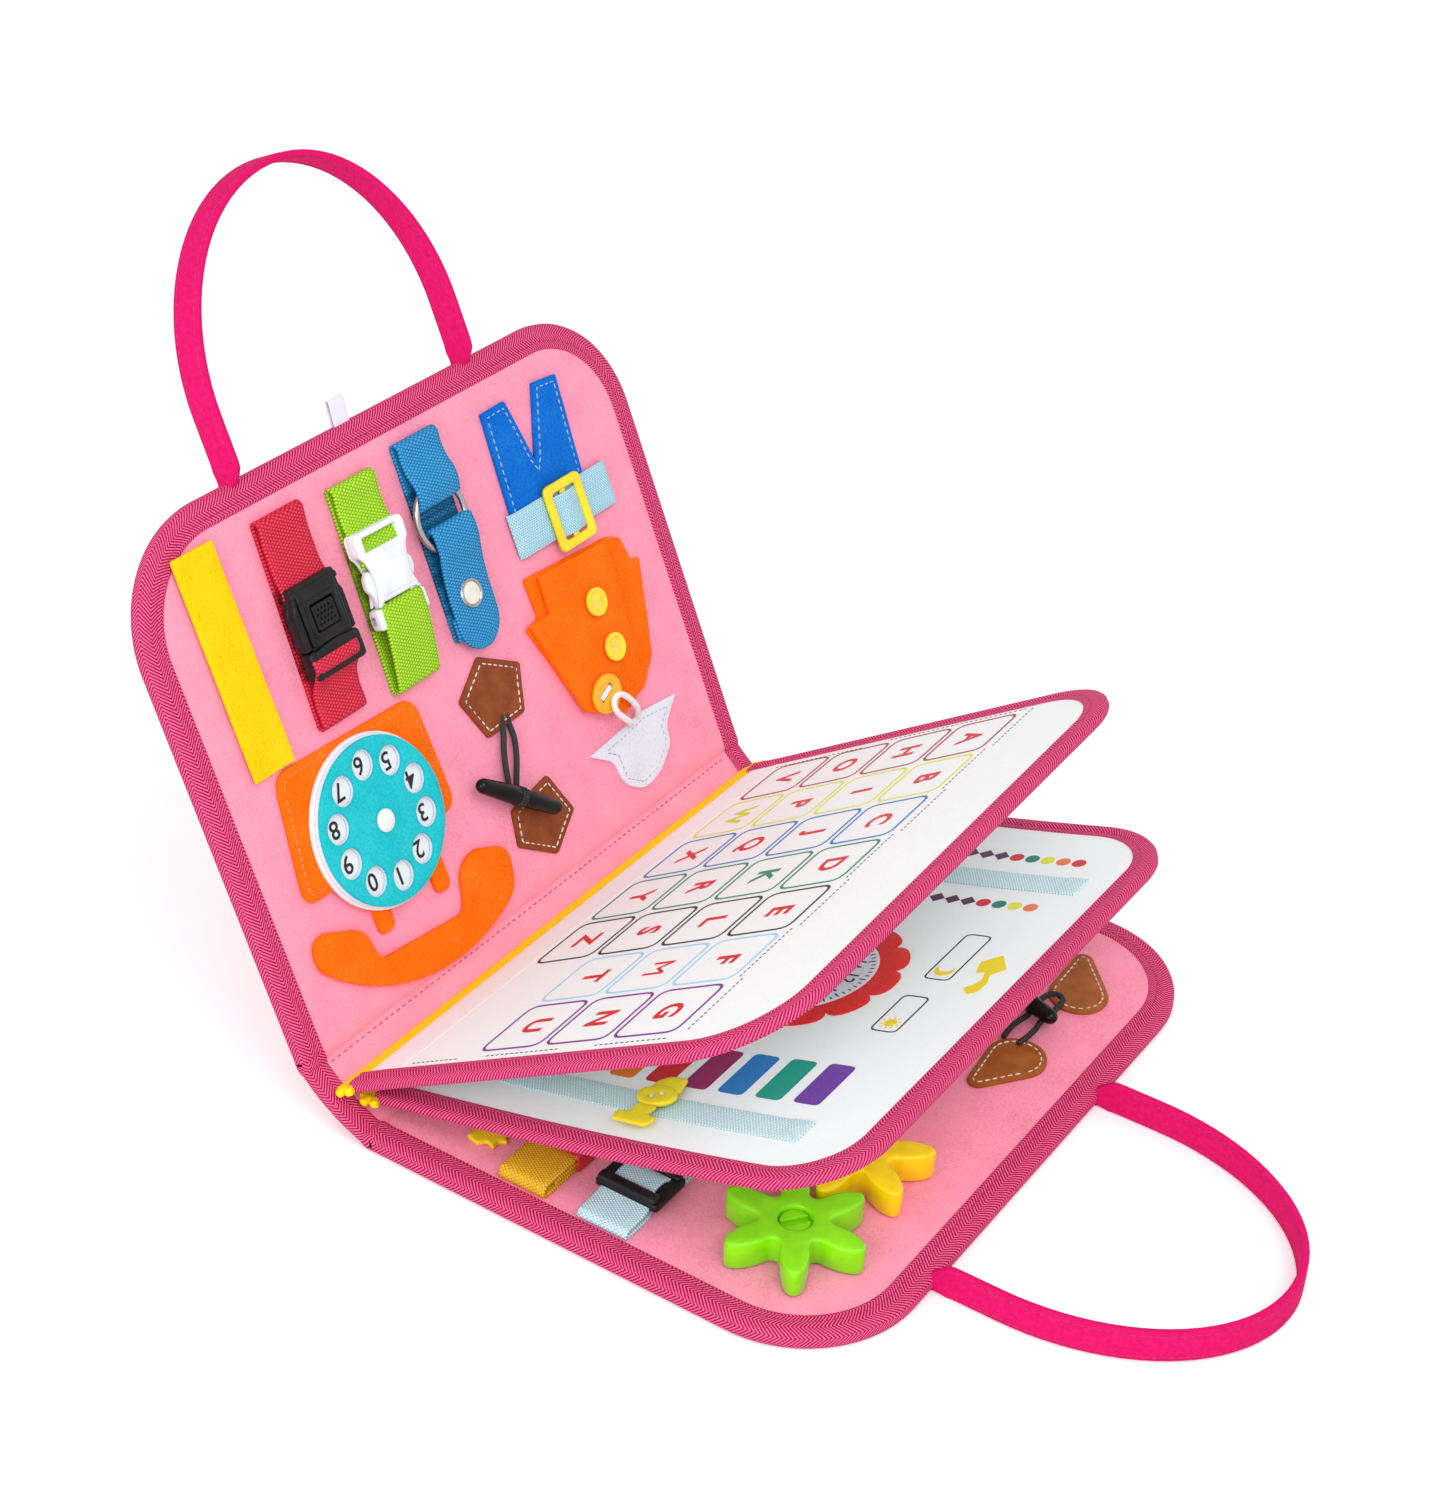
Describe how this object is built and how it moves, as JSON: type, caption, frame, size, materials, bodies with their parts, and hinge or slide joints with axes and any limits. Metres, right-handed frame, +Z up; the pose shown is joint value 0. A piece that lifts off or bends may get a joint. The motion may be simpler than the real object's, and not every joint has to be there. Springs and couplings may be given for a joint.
{
  "type": "felt busy book",
  "caption": "Folding felt activity book with two carry handles, printed pages, buckles, straps, toggles, a dial telephone, a jacket and meshing gears.",
  "frame": {"origin": "middle of the front cover's outer face, on the surface that it lies on", "axes": "+Z up; X along the spine; +Y from the front cover's outer edge towards the spine and the back cover"},
  "size_m": [0.3, 0.4918, 0.3226],
  "materials": {
    "pink_felt": "brushed",
    "magenta_tape": "woven",
    "printed_cloth": "printed",
    "yellow_tape": "woven",
    "magenta_strap": "stitched",
    "green_plastic": "moulded",
    "yellow_plastic": "moulded",
    "black_plastic": "moulded",
    "white_plastic": "moulded",
    "yellow_webbing": "woven",
    "light_blue_webbing": "woven",
    "red_webbing": "woven",
    "green_webbing": "woven",
    "blue_webbing": "woven",
    "brown_leather": "grained",
    "black_cord": "braided",
    "steel": "plated",
    "blue_felt": "brushed",
    "orange_felt": "brushed",
    "white_felt": "brushed",
    "turquoise_felt": "brushed",
    "white_cord": "braided",
    "white_satin": "satin"
  },
  "bodies": {
    "spine": {"spine_panel": "pink_felt"},
    "page_1_root": {"page_1_root": "yellow_tape"},
    "page_2_root": {"page_2_root": "yellow_tape"},
    "page_1": {"page_1_board": "printed_cloth", "page_1_binding": "magenta_tape"},
    "page_2": {"page_2_board": "printed_cloth", "page_2_binding": "magenta_tape", "clock_face": "printed_cloth", "page_2_ribbons": "light_blue_webbing"},
    "snap_strap": {"snap_strap": "blue_webbing", "snap_cap": "steel"},
    "jacket_flap": {"jacket_flap": "orange_felt", "jacket_buttons": "yellow_plastic"},
    "front_cover": {"front_cover_board": "pink_felt", "front_cover_binding": "magenta_tape", "front_toggle_patches": "brown_leather", "front_toggle_cord": "black_cord", "gear_screws": "green_plastic", "yellow_strap": "yellow_webbing", "light_blue_strap": "light_blue_webbing"},
    "back_cover": {"back_cover_board": "pink_felt", "back_cover_binding": "magenta_tape", "back_toggle_patches": "brown_leather", "back_toggle_cord": "black_cord", "loop_strip": "yellow_webbing", "red_strap": "red_webbing", "black_buckle_housing": "black_plastic", "green_strap": "green_webbing", "white_buckle_socket": "white_plastic", "blue_strap": "blue_webbing", "trousers": "blue_felt", "belt": "light_blue_webbing", "jacket_back": "orange_felt", "oval_button": "yellow_plastic", "white_patch": "white_felt", "phone_base": "orange_felt", "dial_card": "white_felt", "dial_pin": "white_plastic", "hanging_tab": "white_satin"},
    "front_handle": {"front_handle": "magenta_strap"},
    "back_handle": {"back_handle": "magenta_strap"},
    "green_gear": {"green_gear": "green_plastic"},
    "yellow_gear": {"yellow_gear": "yellow_plastic"},
    "ladder_buckle": {"ladder_buckle": "black_plastic"},
    "front_toggle": {"front_toggle": "black_plastic"},
    "back_toggle": {"back_toggle": "black_plastic"},
    "hook_strip": {"hook_strip": "yellow_webbing"},
    "black_buckle_plug": {"black_buckle_plug": "black_plastic"},
    "black_buckle_button": {"black_buckle_button": "black_plastic"},
    "white_buckle_plug": {"white_buckle_plug": "white_plastic"},
    "steel_ring": {"steel_ring": "steel"},
    "belt_slider": {"belt_slider": "yellow_plastic"},
    "white_loop": {"white_loop": "white_cord"},
    "phone_dial": {"phone_dial": "turquoise_felt"},
    "handset": {"handset": "orange_felt"},
    "hour_hand": {"hour_hand": "black_plastic"},
    "minute_hand": {"minute_hand": "black_plastic"},
    "day_pointer": {"day_pointer": "yellow_plastic"}
  },
  "joints": [
    {"name": "spine_fold", "type": "hinge", "parent": "front_cover", "child": "spine", "pos_m": [0, 0.1085, 0.0036], "axis": [-1, 0, 0], "range_deg": [-52.85, 33.15]},
    {"name": "back_cover_fold", "type": "hinge", "parent": "spine", "child": "back_cover", "pos_m": [0, 0.13713, 0.0223], "axis": [-1, 0, 0], "range_deg": [-52.85, 33.15]},
    {"name": "page_1_follow", "type": "hinge", "parent": "spine", "child": "page_1_root", "pos_m": [0, 0.12533, 0.01596], "axis": [-1, 0, 0], "range_deg": [-15.53, 24.76]},
    {"name": "page_2_follow", "type": "hinge", "parent": "spine", "child": "page_2_root", "pos_m": [0, 0.11905, 0.01185], "axis": [-1, 0, 0], "range_deg": [-24.98, 39.81]},
    {"name": "page_1_turn", "type": "hinge", "parent": "page_1_root", "child": "page_1", "pos_m": [0, 0.10651, 0.02735], "axis": [-1, 0, 0], "range_deg": [0, 60]},
    {"name": "page_2_turn", "type": "hinge", "parent": "page_2_root", "child": "page_2", "pos_m": [0, 0.09787, 0.01781], "axis": [-1, 0, 0], "range_deg": [0, 60]},
    {"name": "front_handle_swing", "type": "hinge", "parent": "front_cover", "child": "front_handle", "pos_m": [0, -0.1158, 0.007], "axis": [-1, 0, 0], "range_deg": [0, 100]},
    {"name": "back_handle_swing", "type": "hinge", "parent": "back_cover", "child": "back_handle", "pos_m": [0, 0.22418, 0.22905], "axis": [1, 0, 0], "range_deg": [0, 100]},
    {"name": "green_gear_spin", "type": "hinge", "parent": "front_cover", "child": "green_gear", "pos_m": [-0.1026, -0.0574, 0.0066], "axis": [0, 0, 1], "continuous": true},
    {"name": "yellow_gear_spin", "type": "hinge", "parent": "front_cover", "child": "yellow_gear", "pos_m": [-0.055, -0.0556, 0.0066], "axis": [0, 0, 1], "continuous": true},
    {"name": "ladder_buckle_tilt", "type": "hinge", "parent": "front_cover", "child": "ladder_buckle", "pos_m": [-0.10375, 0.0036, 0.0111], "axis": [0, 1, 0], "range_deg": [0, 35]},
    {"name": "front_toggle_turn", "type": "hinge", "parent": "front_cover", "child": "front_toggle", "pos_m": [0.072, -0.0523, 0.0138], "axis": [0, 0, 1], "range_deg": [0, 60]},
    {"name": "back_toggle_turn", "type": "hinge", "parent": "back_cover", "child": "back_toggle", "pos_m": [-0.0015, 0.14628, 0.06852], "axis": [0, -0.9157, 0.4019], "range_deg": [0, 60]},
    {"name": "hook_strip_peel", "type": "hinge", "parent": "back_cover", "child": "hook_strip", "pos_m": [-0.1132, 0.21406, 0.20936], "axis": [-1, 0, 0], "range_deg": [0, 60]},
    {"name": "black_buckle_release", "type": "slide", "parent": "back_cover", "child": "black_buckle_plug", "axis": [0, -0.4019, -0.9157], "range_m": [0, 0.016]},
    {"name": "black_buckle_press", "type": "slide", "parent": "back_cover", "child": "black_buckle_button", "axis": [0, 0.9157, -0.4019], "range_m": [0, 0.0015], "stiffness_N_per_m": 400},
    {"name": "white_buckle_release", "type": "slide", "parent": "back_cover", "child": "white_buckle_plug", "axis": [0, -0.4019, -0.9157], "range_m": [0, 0.016]},
    {"name": "steel_ring_swing", "type": "hinge", "parent": "back_cover", "child": "steel_ring", "pos_m": [0.0138, 0.20224, 0.19052], "axis": [-1, 0, 0], "range_deg": [0, 50]},
    {"name": "snap_strap_lift", "type": "hinge", "parent": "back_cover", "child": "snap_strap", "pos_m": [0.0138, 0.18958, 0.15982], "axis": [-1, 0, 0], "range_deg": [0, 60]},
    {"name": "belt_slider_slide", "type": "slide", "parent": "back_cover", "child": "belt_slider", "axis": [-1, 0, 0], "range_m": [0, 0.014]},
    {"name": "jacket_flap_open", "type": "hinge", "parent": "back_cover", "child": "jacket_flap", "pos_m": [0.0415, 0.16845, 0.10684], "axis": [0, -0.4019, -0.9157], "range_deg": [0, 70]},
    {"name": "white_loop_lift", "type": "hinge", "parent": "back_cover", "child": "white_loop", "pos_m": [0.086, 0.14323, 0.06331], "axis": [0.7431, 0.269, 0.6127], "range_deg": [0, 50]},
    {"name": "phone_dial_turn", "type": "hinge", "parent": "back_cover", "child": "phone_dial", "pos_m": [-0.0753, 0.15903, 0.0911], "axis": [0, -0.9157, 0.4019], "continuous": true},
    {"name": "handset_lift", "type": "slide", "parent": "back_cover", "child": "handset", "axis": [0, -0.9157, 0.4019], "range_m": [0, 0.012]},
    {"name": "hour_hand_turn", "type": "hinge", "parent": "page_2", "child": "hour_hand", "pos_m": [-0.0036, 0.00311, 0.04652], "axis": [0, 0.2706, 0.9627], "continuous": true},
    {"name": "minute_hand_turn", "type": "hinge", "parent": "page_2", "child": "minute_hand", "pos_m": [-0.0036, 0.00311, 0.04652], "axis": [0, 0.2706, 0.9627], "continuous": true},
    {"name": "day_pointer_slide", "type": "slide", "parent": "page_2", "child": "day_pointer", "axis": [0, 0.9627, -0.2706], "range_m": [-0.05, 0.05]}
  ],
  "couplings": [
    {"joint": "back_cover_fold", "follows": "spine_fold", "ratio": 1},
    {"joint": "page_1_follow", "follows": "spine_fold", "ratio": -0.4683},
    {"joint": "page_2_follow", "follows": "spine_fold", "ratio": -0.7531},
    {"joint": "page_2_turn", "follows": "page_1_turn", "ratio": 1},
    {"joint": "yellow_gear_spin", "follows": "green_gear_spin", "ratio": -1}
  ]
}
